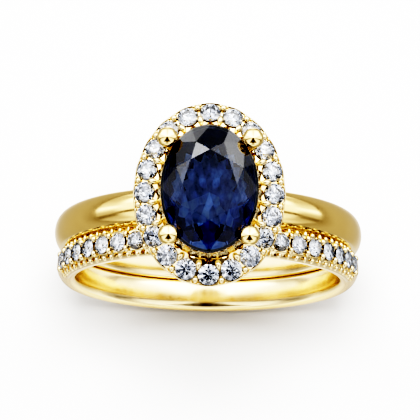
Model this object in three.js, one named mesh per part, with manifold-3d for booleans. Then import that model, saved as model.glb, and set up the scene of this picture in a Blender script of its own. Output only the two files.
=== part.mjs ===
// Oval sapphire halo engagement ring with its matching diamond wedding band, nested as a pair.
// Millimetres.  Origin: centre of the engagement ring's finger hole.
// Y runs along the finger, the wedding band lies on the -Y side, and +Z points to the centre stone.

import * as THREE from 'three';
import { mergeVertices } from 'three/addons/utils/BufferGeometryUtils.js';
import Module from 'manifold-3d';

const wasm = await Module();
wasm.setup();

// ---------------------------------------------------------------- driving dimensions

const SHANK = {
  boreRadius: 8.45,        // finger hole, 16.9 mm across
  crestRadius: 9.95,
  halfWidth: 1.157,
};

const BAND = {
  boreRadius: 8.45,
  centreY: -2.2,
  halfWidth: 1.0,
  ledgeRadius: 9.2,        // top of the plain rims beside the setting
  settingRadius: 9.52,     // top of the metal between the stones
  settingHalfWidth: 0.6,
  domeRadius: 9.76,        // crest of the plain lower half
  stoneCount: 20,
  stonePitchDeg: 8.06,
  stoneRadius: 0.59,
  girdleRadius: 9.62,      // distance of the stone girdles from the finger axis
};

const HALO = {
  semiX: 3.97,             // oval line through the stone centres
  semiY: 5.07,
  stoneCount: 20,
  stoneRadius: 0.655,
  tiltDeg: 20.5,           // how far each stone leans outwards
  surfaceZ: 12.07,         // metal surface on the centre line
  girdleLift: 0.08,        // girdles stand this far above the metal
};

const SAPPHIRE = {
  semiX: 3.0,              // calibrated 6 x 8 mm oval
  semiY: 4.0,
  girdleZ: 13.42,
  girdleHalfThickness: 0.1,
  tableRatio: 0.56,
  starRatio: 0.78,
  crownHeight: 0.92,
  pavilionDepth: 2.62,
  pavilionTiers: [         // radius as a fraction, depth below the girdle
    [0.74, 0.97],
    [0.52, 1.56],
    [0.27, 2.12],
  ],
};

const CLAW = {
  tipZ: 13.76,
  tipRadius: 0.64,
  tipHalfHeight: 0.46,
  wireRadius: 0.34,
};

const GALLERY = {
  semiX: 1.95,             // lower oval rail
  semiY: 2.4,
  railZ: 10.5,
  wireRadius: 0.32,
  strutRadius: 0.24,
};

const MELEE_CUT = {        // small round brilliants, as fractions of the stone's radius
  tableRatio: 0.56,
  starRatio: 0.8,
  crownHeight: 0.32,
  pavilionDepth: 0.88,
  girdleHalfThickness: 0,
};

const BAND_PITCH = THREE.MathUtils.degToRad(BAND.stonePitchDeg);
const FLANK_SLOPE = THREE.MathUtils.degToRad(50);
const SEAT_GAP = 0.025;    // air between a stone and its seat
const JOIN_GAP = 0.02;     // air between two soldered pieces
const RING_SEGMENTS = 64;
const TIDY_TOLERANCE = 0.004;

const QUARTERS = [         // where each claw's tip stands
  { place: 'front_left', tipX: -2.46, tipY: -2.97 },
  { place: 'front_right', tipX: 2.46, tipY: -2.97 },
  { place: 'rear_left', tipX: -2.62, tipY: 3.1 },
  { place: 'rear_right', tipX: 2.62, tipY: 3.1 },
];

const SIDES = [
  { place: 'right', towardsX: 1, towardsY: 0 },
  { place: 'left', towardsX: -1, towardsY: 0 },
  { place: 'rear', towardsX: 0, towardsY: 1 },
  { place: 'front', towardsX: 0, towardsY: -1 },
];

// ---------------------------------------------------------------- materials

const GOLD = new THREE.MeshStandardMaterial({ color: 0xd9ad55, metalness: 1.0, roughness: 0.12 });
const DIAMOND = new THREE.MeshStandardMaterial({ color: 0xeef2f6, metalness: 0.0, roughness: 0.03 });
const BLUE_SAPPHIRE = new THREE.MeshStandardMaterial({ color: 0x14245c, metalness: 0.0, roughness: 0.03 });

// ---------------------------------------------------------------- solids and booleans

function solidOf(geometry) {
  const bare = new THREE.BufferGeometry();
  bare.setAttribute('position', geometry.getAttribute('position').clone());
  bare.setIndex(geometry.getIndex() ? geometry.getIndex().clone() : null);
  const welded = mergeVertices(bare, 1e-5);
  return new wasm.Manifold(new wasm.Mesh({
    numProp: 3,
    vertProperties: new Float32Array(welded.getAttribute('position').array),
    triVerts: new Uint32Array(welded.getIndex().array),
  }));
}

// Slivers finer than the tidy tolerance are merged on the way back to a geometry.
function geometryOf(solid) {
  const mesh = solid.asOriginal().simplify(TIDY_TOLERANCE).getMesh();
  const geometry = new THREE.BufferGeometry();
  geometry.setAttribute('position', new THREE.BufferAttribute(new Float32Array(mesh.vertProperties), 3));
  geometry.setIndex(new THREE.BufferAttribute(new Uint32Array(mesh.triVerts), 1));
  geometry.computeVertexNormals();
  return geometry;
}

function union(solids) {
  return solids.reduce((sum, solid) => sum.add(solid));
}

function subtractAll(solid, cutters) {
  return cutters.reduce((rest, cutter) => rest.subtract(cutter), solid);
}

// ---------------------------------------------------------------- hoops

// Revolves a closed outline of [radius, y] pairs about the finger axis.
function hoopGeometry(outline) {
  const points = [...outline, outline[0]].map(([radius, y]) => new THREE.Vector2(radius, y));
  return new THREE.LatheGeometry(points, RING_SEGMENTS);
}

// Reflects one half of a hoop's outline, listed from the bore to the crest, about its middle plane.
function mirroredOutline(bore, halfOutline, crest, centreY) {
  const front = halfOutline.map(([radius, offset]) => [radius, centreY - offset]);
  const rear = halfOutline.map(([radius, offset]) => [radius, centreY + offset]).reverse();
  return [[bore, centreY], ...front, [crest, centreY], ...rear];
}

// Rounded half of the finger hole's surface, which is the same in both hoops: [radius, offset] pairs.
function comfortFitBore(boreRadius, halfWidth) {
  return [
    [boreRadius + 0.03, 0.5 * halfWidth],
    [boreRadius + 0.11, 0.8 * halfWidth],
    [boreRadius + 0.23, 0.93 * halfWidth],
    [boreRadius + 0.41, halfWidth],
  ];
}

// Plain polished hoop: comfort-fit bore, narrow flat sides and a domed outside.
function domedOutline(crest, halfWidth) {
  const half = [
    ...comfortFitBore(SHANK.boreRadius, halfWidth),
    [crest - 0.73, halfWidth],
    [crest - 0.53, 0.94 * halfWidth],
    [crest - 0.35, 0.83 * halfWidth],
    [crest - 0.18, 0.64 * halfWidth],
    [crest - 0.05, 0.36 * halfWidth],
  ];
  return mirroredOutline(SHANK.boreRadius, half, crest, 0);
}

// ---------------------------------------------------------------- ovals

function ovalPoint(semiX, semiY, parameter) {
  return new THREE.Vector3(semiX * Math.cos(parameter), semiY * Math.sin(parameter), 0);
}

function ovalNormal(semiX, semiY, parameter) {
  return new THREE.Vector3(semiY * Math.cos(parameter), semiX * Math.sin(parameter), 0).normalize();
}

// Parameters of points spaced evenly along the oval, starting on +X.
function ovalStations(semiX, semiY, count) {
  const fine = 3600;
  const lengths = [0];
  for (let step = 1; step <= fine; step += 1) {
    const before = ovalPoint(semiX, semiY, (2 * Math.PI * (step - 1)) / fine);
    const here = ovalPoint(semiX, semiY, (2 * Math.PI * step) / fine);
    lengths.push(lengths[step - 1] + before.distanceTo(here));
  }
  const stations = [];
  let step = 0;
  for (let index = 0; index < count; index += 1) {
    const wanted = (lengths[fine] * index) / count;
    while (lengths[step + 1] < wanted) {
      step += 1;
    }
    const part = (wanted - lengths[step]) / (lengths[step + 1] - lengths[step]);
    stations.push((2 * Math.PI * (step + part)) / fine);
  }
  return stations;
}

// Sweeps a closed outline of [outward offset, z] pairs round an oval.
// reshape(offset, index) may move the outline's points in or out at each station.
function ovalRingGeometry(semiX, semiY, outline, segments, reshape = (offset) => offset) {
  const positions = [];
  ovalStations(semiX, semiY, segments).forEach((parameter, index) => {
    const normal = ovalNormal(semiX, semiY, parameter);
    for (const [offset, z] of outline) {
      const point = ovalPoint(semiX, semiY, parameter).addScaledVector(normal, reshape(offset, index));
      positions.push(point.x, point.y, z);
    }
  });
  const indices = [];
  const columns = outline.length;
  for (let row = 0; row < segments; row += 1) {
    const nextRow = (row + 1) % segments;
    for (let column = 0; column < columns; column += 1) {
      const nextColumn = (column + 1) % columns;
      const near = row * columns + column;
      const far = nextRow * columns + column;
      const farNext = nextRow * columns + nextColumn;
      const nearNext = row * columns + nextColumn;
      indices.push(near, far, farNext, near, farNext, nearNext);
    }
  }
  const geometry = new THREE.BufferGeometry();
  geometry.setAttribute('position', new THREE.Float32BufferAttribute(positions, 3));
  geometry.setIndex(indices);
  return geometry;
}

function roundOutline(radius, centreZ, sides) {
  return Array.from({ length: sides }, (_, side) => {
    const angle = (2 * Math.PI * (side + 0.5)) / sides;
    return [radius * Math.cos(angle), centreZ + radius * Math.sin(angle)];
  });
}

// ---------------------------------------------------------------- wire and beads

function wireGeometry(points, radius, steps) {
  const outline = new THREE.Shape(new THREE.Path().absarc(0, 0, radius, 0, 2 * Math.PI).getPoints(4));
  const path = new THREE.CatmullRomCurve3(points.map((point) => new THREE.Vector3(...point)));
  return new THREE.ExtrudeGeometry(outline, { steps, bevelEnabled: false, extrudePath: path });
}

function beadGeometry(reachX, reachY, reachZ, around = 6, rings = 4) {
  return new THREE.SphereGeometry(1, around, rings).rotateX(Math.PI / 2).scale(reachX, reachY, reachZ);
}

// ---------------------------------------------------------------- stones

function facetRing(radius, height, start, count) {
  return Array.from({ length: count }, (_, index) => {
    const angle = start + (2 * Math.PI * index) / count;
    return new THREE.Vector3(radius * Math.cos(angle), radius * Math.sin(angle), height);
  });
}

// Eightfold brilliant of unit girdle radius, table towards +Z, girdle centred on z = 0.
function brilliantGeometry(cut) {
  const spoke = Math.PI / 8;
  const top = cut.girdleHalfThickness;
  const starRise = (1 - cut.starRatio * Math.cos(spoke)) / (1 - cut.tableRatio);
  const table = facetRing(cut.tableRatio, top + cut.crownHeight, 0, 8);
  const stars = facetRing(cut.starRatio, top + cut.crownHeight * starRise, spoke, 8);
  const girdleTop = facetRing(1, top, 0, 16);
  const girdleBottom = top > 0 ? facetRing(1, -top, 0, 16) : girdleTop;
  const tiers = (cut.pavilionTiers ?? []).map(([radius, depth]) => facetRing(radius, -top - depth, 0, 16));
  const pavilion = [girdleBottom, ...tiers];
  const lowest = pavilion[pavilion.length - 1];
  const culet = new THREE.Vector3(0, 0, -top - cut.pavilionDepth);

  const faces = [];
  for (let index = 1; index < 7; index += 1) {
    faces.push(table[0], table[index], table[index + 1]);
  }
  for (let index = 0; index < 8; index += 1) {
    const starBefore = stars[(index + 7) % 8];
    const main = girdleTop[2 * index];
    const half = girdleTop[2 * index + 1];
    const nextMain = girdleTop[(2 * index + 2) % 16];
    faces.push(table[index], stars[index], table[(index + 1) % 8]);
    faces.push(table[index], starBefore, main);
    faces.push(table[index], main, stars[index]);
    faces.push(stars[index], main, half);
    faces.push(stars[index], half, nextMain);
  }
  for (let index = 0; index < 16; index += 1) {
    const next = (index + 1) % 16;
    faces.push(culet, lowest[next], lowest[index]);
    tiers.forEach((tier, row) => {
      faces.push(pavilion[row][index], tier[index], tier[next]);
      faces.push(pavilion[row][index], tier[next], pavilion[row][next]);
    });
    if (top > 0) {
      faces.push(girdleTop[index], girdleBottom[index], girdleBottom[next]);
      faces.push(girdleTop[index], girdleBottom[next], girdleTop[next]);
    }
  }
  return mergeVertices(new THREE.BufferGeometry().setFromPoints(faces), 1e-6);
}

function meleeGeometry(radius) {
  return brilliantGeometry(MELEE_CUT).scale(radius, radius, radius);
}

// Oval cut about its girdle: the eightfold facets are stretched and the outline is trimmed smooth.
function sapphireGeometry() {
  const reach = 1 / Math.cos(Math.PI / 16);
  const facets = brilliantGeometry(SAPPHIRE).scale(SAPPHIRE.semiX * reach, SAPPHIRE.semiY * reach, 1);
  const outline = new THREE.CylinderGeometry(1, 1, 8, 64).rotateX(Math.PI / 2);
  outline.scale(SAPPHIRE.semiX, SAPPHIRE.semiY, 1);
  return geometryOf(solidOf(facets).intersect(solidOf(outline)));
}

// The sapphire grown by the seat gap, in its place: the tool that cuts the pieces that touch it.
function sapphireTool() {
  const grown = sapphireGeometry().scale(
    1 + SEAT_GAP / SAPPHIRE.semiX,
    1 + SEAT_GAP / SAPPHIRE.semiY,
    1 + 2 * SEAT_GAP,
  );
  return solidOf(grown.translate(0, 0, SAPPHIRE.girdleZ));
}

// Tool that leaves a melee stone's seat: pavilion cone, girdle groove and room for the crown.
function seatTool(radius, depth, matrix) {
  const wide = radius + SEAT_GAP;
  const top = radius * MELEE_CUT.crownHeight + SEAT_GAP;
  const outline = [
    new THREE.Vector2(0, -depth),
    new THREE.Vector2(radius * 0.36, -depth),
    new THREE.Vector2(wide, -SEAT_GAP),
    new THREE.Vector2(wide, SEAT_GAP),
    new THREE.Vector2(radius * MELEE_CUT.tableRatio + SEAT_GAP, top),
    new THREE.Vector2(0, top),
  ];
  return solidOf(new THREE.LatheGeometry(outline, 12).rotateX(Math.PI / 2).applyMatrix4(matrix));
}

// ---------------------------------------------------------------- places on the two rings

// Matrix of a frame whose +Z faces outward and whose +X runs as near to along as it can.
function facing(origin, outward, along) {
  const z = outward.clone().normalize();
  const y = new THREE.Vector3().crossVectors(z, along).normalize();
  const x = new THREE.Vector3().crossVectors(y, z);
  return new THREE.Matrix4().makeBasis(x, y, z).setPosition(origin);
}

// Frame on the halo's sloping top: +X downhill and outwards, +Z along the stone's axis.
function haloPlace(parameter, downhillOffset, lift) {
  const tilt = THREE.MathUtils.degToRad(HALO.tiltDeg);
  const up = new THREE.Vector3(0, 0, 1);
  const sideways = ovalNormal(HALO.semiX, HALO.semiY, parameter);
  const outward = up.clone().multiplyScalar(Math.cos(tilt)).addScaledVector(sideways, Math.sin(tilt));
  const downhill = sideways.clone().multiplyScalar(Math.cos(tilt)).addScaledVector(up, -Math.sin(tilt));
  const origin = ovalPoint(HALO.semiX, HALO.semiY, parameter)
    .setZ(HALO.surfaceZ)
    .addScaledVector(downhill, downhillOffset)
    .addScaledVector(outward, lift);
  return facing(origin, outward, downhill);
}

// Frame on the wedding band at an angle from the top: +X along the finger, +Z away from it.
function bandPlace(angle, offsetY, radius) {
  const outward = new THREE.Vector3(Math.sin(angle), 0, Math.cos(angle));
  const origin = outward.clone().multiplyScalar(radius).setY(BAND.centreY + offsetY);
  return facing(origin, outward, new THREE.Vector3(0, 1, 0));
}

function bandStoneAngle(index) {
  return BAND_PITCH * (index - (BAND.stoneCount - 1) / 2);
}

// ---------------------------------------------------------------- engagement ring metal

function engagementShank() {
  return hoopGeometry(domedOutline(SHANK.crestRadius, SHANK.halfWidth));
}

// Bent wire of one claw, from under the lower rail up to the stone's edge.
function clawWire({ tipX, tipY }, extraRadius = 0) {
  const points = [
    [0.55 * tipX, 0.57 * tipY, 10.05],
    [0.67 * tipX, 0.68 * tipY, 11.1],
    [0.87 * tipX, 0.87 * tipY, 12.3],
    [0.97 * tipX, 0.97 * tipY, 13.1],
    [tipX, tipY, CLAW.tipZ],
  ];
  return solidOf(wireGeometry(points, CLAW.wireRadius + extraRadius, 8));
}

function clawTip({ tipX, tipY }, extraRadius = 0) {
  const reach = CLAW.tipRadius + extraRadius;
  const tip = beadGeometry(reach, reach, CLAW.tipHalfHeight + extraRadius, 12, 7);
  return solidOf(tip.translate(tipX, tipY, CLAW.tipZ));
}

const clawRoom = QUARTERS.flatMap((quarter) => [
  clawWire(quarter, JOIN_GAP),
  clawTip(quarter, JOIN_GAP),
]);

function claw(quarter, sapphireRoom) {
  return geometryOf(clawWire(quarter).add(clawTip(quarter)).subtract(sapphireRoom));
}

function lowerRailSolid(extraRadius = 0) {
  const outline = roundOutline(GALLERY.wireRadius + extraRadius, GALLERY.railZ, 8);
  return solidOf(ovalRingGeometry(GALLERY.semiX, GALLERY.semiY, outline, 36));
}

function lowerRail() {
  return geometryOf(subtractAll(lowerRailSolid(), clawRoom));
}

// Cradle soldered on top of the shank that carries the lower rail.
function headSaddle() {
  const block = new THREE.BoxGeometry(4.1, 1.7, 1.4).translate(0, 0, 9.9);
  const bore = new THREE.CylinderGeometry(9.0, 9.0, 4, RING_SEGMENTS);
  const shankRoom = hoopGeometry(domedOutline(SHANK.crestRadius + JOIN_GAP, SHANK.halfWidth + 0.3));
  const well = new THREE.CylinderGeometry(1.35, 1.35, 3, 24).rotateX(Math.PI / 2).translate(0, 0, 11.75);
  return geometryOf(subtractAll(solidOf(block), [
    solidOf(bore),
    solidOf(shankRoom),
    solidOf(well),
    lowerRailSolid(JOIN_GAP),
    ...clawRoom,
  ]));
}

// Oval collar under the sapphire's girdle, in which the pavilion rests.
function collarSolid(extra = 0) {
  const outline = [
    [-0.62 - extra, 12.35 - extra],
    [0.2 + extra, 12.35 - extra],
    [0.18 + extra, 12.65],
    [0.02 + extra, 13.13],
    [-0.06, 13.25 + extra],
    [-0.3 - extra, 13.2 + extra],
  ];
  return solidOf(ovalRingGeometry(SAPPHIRE.semiX, SAPPHIRE.semiY, outline, 44));
}

function bearingCollar(sapphireRoom) {
  return geometryOf(subtractAll(collarSolid(), [sapphireRoom, ...clawRoom]));
}

// The halo's outer rail swells beside each stone and dips between stones.
function haloScallop(offset, index) {
  const swell = 0.018 * (Math.cos((2 * Math.PI * index) / 3) - 1);
  return offset > 0.5 ? offset + swell : offset;
}

// Sloping oval frame with a drilled seat for each stone and a pair of beads between stones.
function haloFrameSolid() {
  const outline = [
    [-0.92, 12.2],
    [-0.6, 11.35],
    [-0.4, 11.1],
    [0.5, 11.03],
    [0.72, 11.62],
    [0.71, 11.88],
    [0.64, 11.88],
    [0.58, 11.83],
    [-0.9, 12.39],
  ];
  const segments = 3 * HALO.stoneCount;
  const parts = [solidOf(ovalRingGeometry(HALO.semiX, HALO.semiY, outline, segments, haloScallop))];
  const seats = [];
  ovalStations(HALO.semiX, HALO.semiY, 2 * HALO.stoneCount).forEach((parameter, index) => {
    if (index % 2 === 0) {
      seats.push(seatTool(HALO.stoneRadius, 1.3, haloPlace(parameter, 0, HALO.girdleLift)));
      return;
    }
    const outerBead = beadGeometry(0.22, 0.22, 0.24).applyMatrix4(haloPlace(parameter, 0.42, 0.05));
    parts.push(solidOf(outerBead));
    const besideClaw = index % 10 === 5;
    if (!besideClaw) {
      const innerBead = beadGeometry(0.34, 0.22, 0.27).applyMatrix4(haloPlace(parameter, -0.5, 0.04));
      parts.push(solidOf(innerBead));
    }
  });
  return subtractAll(union(parts), [...seats, ...clawRoom, collarSolid(JOIN_GAP)]);
}

// Curved wire from the lower rail out to the underside of the halo.
function haloStrut({ towardsX, towardsY }, neighbours) {
  const start = towardsX !== 0 ? GALLERY.semiX : GALLERY.semiY;
  const end = towardsX !== 0 ? HALO.semiX : HALO.semiY;
  const reachAndHeight = [
    [start + 0.16, 10.6],
    [start + 0.45 * (end - start), 10.72],
    [start + 0.8 * (end - start), 10.95],
    [end - 0.1, 11.32],
  ];
  const points = reachAndHeight.map(([reach, z]) => [towardsX * reach, towardsY * reach, z]);
  return geometryOf(subtractAll(solidOf(wireGeometry(points, GALLERY.strutRadius, 6)), neighbours));
}

// ---------------------------------------------------------------- wedding band metal

// Prism whose section is the sector of the hoop that carries stones.
function stoneSector(extraAngle) {
  const half = (BAND_PITCH * BAND.stoneCount) / 2 + extraAngle;
  const sector = new THREE.Shape();
  sector.moveTo(0, 0);
  sector.absarc(0, 0, 14, Math.PI / 2 - half, Math.PI / 2 + half);
  const prism = new THREE.ExtrudeGeometry(sector, { depth: 4, bevelEnabled: false, curveSegments: 8 });
  return solidOf(prism.rotateX(Math.PI / 2).translate(0, BAND.centreY + 2, 0));
}

// Low comfort-fit hoop with flat sides that runs all the way round.
function bandBase() {
  const { boreRadius, ledgeRadius, halfWidth, centreY } = BAND;
  const half = [
    ...comfortFitBore(boreRadius, halfWidth),
    [ledgeRadius - 0.08, halfWidth],
    [ledgeRadius - 0.01, 0.93 * halfWidth],
    [ledgeRadius, 0.5 * halfWidth],
  ];
  return solidOf(hoopGeometry(mirroredOutline(boreRadius, half, ledgeRadius, centreY)));
}

// Raised wall under the stones, with flanks that slope out to the sides of the hoop.
function settingWall() {
  const { settingRadius, settingHalfWidth, halfWidth, centreY } = BAND;
  const half = [
    [8.9, 0.96 * halfWidth],
    [9.06, 0.99 * halfWidth],
    [9.3, 0.9 * halfWidth],
    [9.44, 0.76 * halfWidth],
    [settingRadius - 0.01, settingHalfWidth],
  ];
  const hoop = hoopGeometry(mirroredOutline(8.9, half, settingRadius, centreY));
  return solidOf(hoop).intersect(stoneSector(0.02));
}

// Polished dome of the lower half.
function plainDome() {
  const { domeRadius, halfWidth, centreY } = BAND;
  const half = [
    [8.9, 0.96 * halfWidth],
    [9.0, 0.995 * halfWidth],
    [9.14, 0.99 * halfWidth],
    [9.34, 0.9 * halfWidth],
    [9.55, 0.68 * halfWidth],
    [9.71, 0.36 * halfWidth],
  ];
  const hoop = hoopGeometry(mirroredOutline(8.9, half, domeRadius, centreY));
  return solidOf(hoop).subtract(stoneSector(0));
}

// Frame on one of the setting's sloping flanks, with +Z out of the slope.
// side is -1 for the front flank and 1 for the rear one.
function flankPlace(angle, side, offset, radius) {
  const lean = new THREE.Matrix4().makeRotationY(side * FLANK_SLOPE);
  return bandPlace(angle, side * offset, radius).multiply(lean);
}

function bandSeats() {
  const seats = [];
  for (let index = 0; index < BAND.stoneCount; index += 1) {
    seats.push(seatTool(BAND.stoneRadius, 0.56, bandPlace(bandStoneAngle(index), 0, BAND.girdleRadius)));
  }
  return seats;
}

// Two small openings beside each stone, in both flanks.
function flankDrills() {
  const drills = [];
  for (let index = 0; index < BAND.stoneCount; index += 1) {
    for (const side of [-1, 1]) {
      for (const turn of [-0.26, 0.26]) {
        const drill = new THREE.CylinderGeometry(0.13, 0.13, 0.6, 4).rotateX(Math.PI / 2);
        const place = flankPlace(bandStoneAngle(index) + turn * BAND_PITCH, side, 0.74, 9.34);
        drills.push(solidOf(drill.applyMatrix4(place)));
      }
    }
  }
  return drills;
}

// Beads at the stones' edges and posts below them between stones, and a knob under each stone.
function bandBeads() {
  const beads = [];
  for (const side of [-1, 1]) {
    for (let index = 0; index <= BAND.stoneCount; index += 1) {
      const angle = bandStoneAngle(index) - BAND_PITCH / 2;
      const edge = bandPlace(angle, side * 0.46, BAND.settingRadius + 0.06);
      beads.push(solidOf(beadGeometry(0.2, 0.22, 0.24).applyMatrix4(edge)));
      beads.push(solidOf(beadGeometry(0.24, 0.16, 0.13).applyMatrix4(flankPlace(angle, side, 0.78, 9.34))));
    }
    for (let index = 0; index < BAND.stoneCount; index += 1) {
      const knob = bandPlace(bandStoneAngle(index), side * 0.8, 9.3);
      beads.push(solidOf(beadGeometry(0.19, 0.19, 0.19).applyMatrix4(knob)));
    }
  }
  return beads;
}

function weddingBand() {
  const metal = union([bandBase(), settingWall(), plainDome()]);
  const drilled = subtractAll(metal, flankDrills());
  return geometryOf(subtractAll(union([drilled, ...bandBeads()]), bandSeats()));
}

// ---------------------------------------------------------------- assembly

function addMesh(group, name, geometry, material, matrix = new THREE.Matrix4()) {
  const mesh = new THREE.Mesh(geometry, material);
  mesh.name = name;
  mesh.applyMatrix4(matrix);
  group.add(mesh);
}

function numbered(stem, index) {
  return `${stem}_${String(index + 1).padStart(2, '0')}`;
}

// Oval head: rail, collar, claws, halo and the centre stone.
function headGroup() {
  const group = new THREE.Group();
  const sapphireRoom = sapphireTool();
  const halo = haloFrameSolid();
  const strutNeighbours = [lowerRailSolid(JOIN_GAP), halo];
  addMesh(group, 'head_saddle', headSaddle(), GOLD);
  addMesh(group, 'gallery_rail', lowerRail(), GOLD);
  addMesh(group, 'bearing_collar', bearingCollar(sapphireRoom), GOLD);
  addMesh(group, 'halo_frame', geometryOf(halo), GOLD);
  for (const quarter of QUARTERS) {
    addMesh(group, `claw_${quarter.place}`, claw(quarter, sapphireRoom), GOLD);
  }
  for (const side of SIDES) {
    addMesh(group, `halo_strut_${side.place}`, haloStrut(side, strutNeighbours), GOLD);
  }
  const sapphirePlace = new THREE.Matrix4().makeTranslation(0, 0, SAPPHIRE.girdleZ);
  addMesh(group, 'centre_sapphire', sapphireGeometry(), BLUE_SAPPHIRE, sapphirePlace);
  ovalStations(HALO.semiX, HALO.semiY, HALO.stoneCount).forEach((parameter, index) => {
    const place = haloPlace(parameter, 0, HALO.girdleLift);
    addMesh(group, numbered('halo_diamond', index), meleeGeometry(HALO.stoneRadius), DIAMOND, place);
  });
  return group;
}

function engagementRingGroup() {
  const group = new THREE.Group();
  addMesh(group, 'engagement_shank', engagementShank(), GOLD);
  group.add(headGroup());
  return group;
}

function weddingBandGroup() {
  const group = new THREE.Group();
  addMesh(group, 'wedding_band', weddingBand(), GOLD);
  for (let index = 0; index < BAND.stoneCount; index += 1) {
    const place = bandPlace(bandStoneAngle(index), 0, BAND.girdleRadius);
    addMesh(group, numbered('band_diamond', index), meleeGeometry(BAND.stoneRadius), DIAMOND, place);
  }
  return group;
}

const ringPair = new THREE.Group();
ringPair.add(engagementRingGroup(), weddingBandGroup());

export default ringPair;
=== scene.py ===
"""Looks of the halo engagement ring and its nested diamond wedding band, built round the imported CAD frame.

Shapes are written in millimetres in the row frame (Y along the finger, +Z to the centre stone) and
scaled to metres when each mesh is made.
"""

import math

import bmesh
import bpy
from mathutils import Matrix, Vector


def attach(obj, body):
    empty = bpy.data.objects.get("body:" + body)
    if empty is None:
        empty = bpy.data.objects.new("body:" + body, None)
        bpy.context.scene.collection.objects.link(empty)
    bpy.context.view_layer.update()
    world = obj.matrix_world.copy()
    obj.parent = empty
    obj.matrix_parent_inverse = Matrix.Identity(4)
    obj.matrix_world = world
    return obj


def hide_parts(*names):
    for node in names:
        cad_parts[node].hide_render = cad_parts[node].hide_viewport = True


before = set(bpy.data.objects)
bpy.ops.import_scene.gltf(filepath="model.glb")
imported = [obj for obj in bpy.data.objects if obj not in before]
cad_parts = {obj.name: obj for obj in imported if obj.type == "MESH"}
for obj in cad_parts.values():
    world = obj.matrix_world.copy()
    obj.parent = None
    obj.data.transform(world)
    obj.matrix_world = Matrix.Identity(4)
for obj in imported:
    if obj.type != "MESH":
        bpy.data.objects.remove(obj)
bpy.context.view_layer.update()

MM = 0.001
RING_BODY = "engagement_ring"
BAND_BODY = "matching_band"

# ---------------------------------------------------------------- driving dimensions, as in the CAD

BORE_RADIUS = 8.45
SHANK_CREST = 9.95
SHANK_HALF_WIDTH = 1.157

BAND_Y = -2.2
BAND_HALF_WIDTH = 1.0
BAND_LEDGE = 9.2
BAND_CORE = 8.95  # buried inside of the setting and of the dome
BAND_SETTING = 9.52
BAND_DOME = 9.76
BAND_GIRDLE = 9.62
BAND_STONE_RADIUS = 0.59
BAND_STONES = 20
BAND_PITCH = math.radians(8.06)
BAND_REACH = BAND_PITCH * BAND_STONES / 2  # angle from the top to the setting's end
FLANK_RADIUS = 9.34
FLANK_SLOPE = math.radians(50)

HALO_SEMI = (3.97, 5.07)
HALO_STONES = 20
HALO_STONE_RADIUS = 0.655
HALO_TILT = math.radians(20.5)
HALO_SURFACE = 12.07
HALO_GIRDLE_LIFT = 0.08

SAPPHIRE_SEMI = (3.0, 4.0)
SAPPHIRE_GIRDLE = 13.42
SAPPHIRE_GIRDLE_HALF = 0.1
SAPPHIRE_CROWN = 0.92
SAPPHIRE_PAVILION = 2.62
SAPPHIRE_TIERS = (  # facets, turn in facet widths, inner and outer end as (share of radius, height)
    (16, 0.5, (0.74, -1.07), (1.0, -0.1)),
    (16, 0.0, (0.52, -1.66), (0.74, -1.07)),
    (16, 0.5, (0.27, -2.22), (0.52, -1.66)),
    (8, 0.0, (0.0, -2.72), (0.27, -2.22)),
)

CLAW_TIP_Z = 13.76
CLAW_TIP_RADIUS = 0.64
CLAW_TIP_HALF_HEIGHT = 0.46
CLAW_WIRE = 0.34

GALLERY_SEMI = (1.95, 2.4)
GALLERY_Z = 10.5
GALLERY_WIRE = 0.32
STRUT_WIRE = 0.24
COLLAR_FLUTES = 40

QUARTERS = (
    ("front_left", -2.46, -2.97),
    ("front_right", 2.46, -2.97),
    ("rear_left", -2.62, 3.1),
    ("rear_right", 2.62, 3.1),
)
SIDES = (
    ("right", 1, 0),
    ("left", -1, 0),
    ("rear", 0, 1),
    ("front", 0, -1),
)

# Reaches of the raised beads along X, Y and Z of their own places.
EDGE_BEAD = (0.22, 0.2, 0.24)
POST_BEAD = (0.24, 0.16, 0.13)
KNOB_BEAD = (0.19, 0.19, 0.19)
HALO_OUTER_BEAD = (0.21, 0.21, 0.24)
HALO_INNER_BEAD = (0.34, 0.2, 0.27)
HALO_FINE_BEAD = (0.1, 0.1, 0.1)

# ---------------------------------------------------------------- fineness

HOOP_STEPS = 288
SETTING_STEPS = 240
DOME_STEPS = 160
OVAL_STEPS = 240
SEAT_SIDES = 32
SOFT_EDGE = 50  # degrees above which an edge is sharp
CRISP_EDGE = 35

# ---------------------------------------------------------------- camera and studio

CAMERA_DISTANCE = 206.97
CAMERA_ELEVATION = math.radians(77.58)
CAMERA_AZIMUTH = math.radians(-1.012)
CAMERA_ROLL = math.radians(1.761)
CAMERA_AIM_RIGHT = math.radians(0.034)
CAMERA_AIM_UP = math.radians(0.4622)
CAMERA_LENS = 273.06
CAMERA_SENSOR = 36.0

# Brightness of the walls and of the canopy above them, by degrees from the rear, alike on both sides.
WALLS = (
    (0, 0.7), (24, 0.8), (30, 1.1), (36, 0.9), (43, 0.52), (57, 0.5), (66, 0.7), (73, 0.8), (76, 1.35),
    (79, 1.35), (83, 0.9), (90, 0.5), (96, 0.42), (101, 0.2), (107, 0.18), (113, 0.4), (128, 0.5),
    (138, 0.75), (150, 0.55), (180, 0.9),
)
CANOPY = (
    (0, 0.8), (6, 1.2), (24, 1.9), (55, 2.0), (68, 1.1), (92, 1.0), (95, 0.15), (101, 0.15), (105, 0.8),
    (120, 0.9), (150, 1.2), (160, 1.0), (172, 0.45), (180, 0.35),
)
CANOPY_FOOT = (0.24, 0.42)  # heights on the unit sky between which the walls turn into the canopy
SLOT_LEVEL = 0.12

FLOOR_HALF_SIZE = 0.6
FLOOR_SEEN = 0.57
FLOOR_MIRRORED = ((0.0, 0.62), (0.1, 0.6), (0.17, 0.32), (0.3, 0.2), (1.0, 0.22))
FLOOR_MIRRORED_REACH = 0.06

KEY_LIGHT_ENERGY = 0.17
KEY_LIGHT_SIZE = 0.05
KEY_LIGHT_PLACE = (0.0, 0.006, 0.13)

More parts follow.
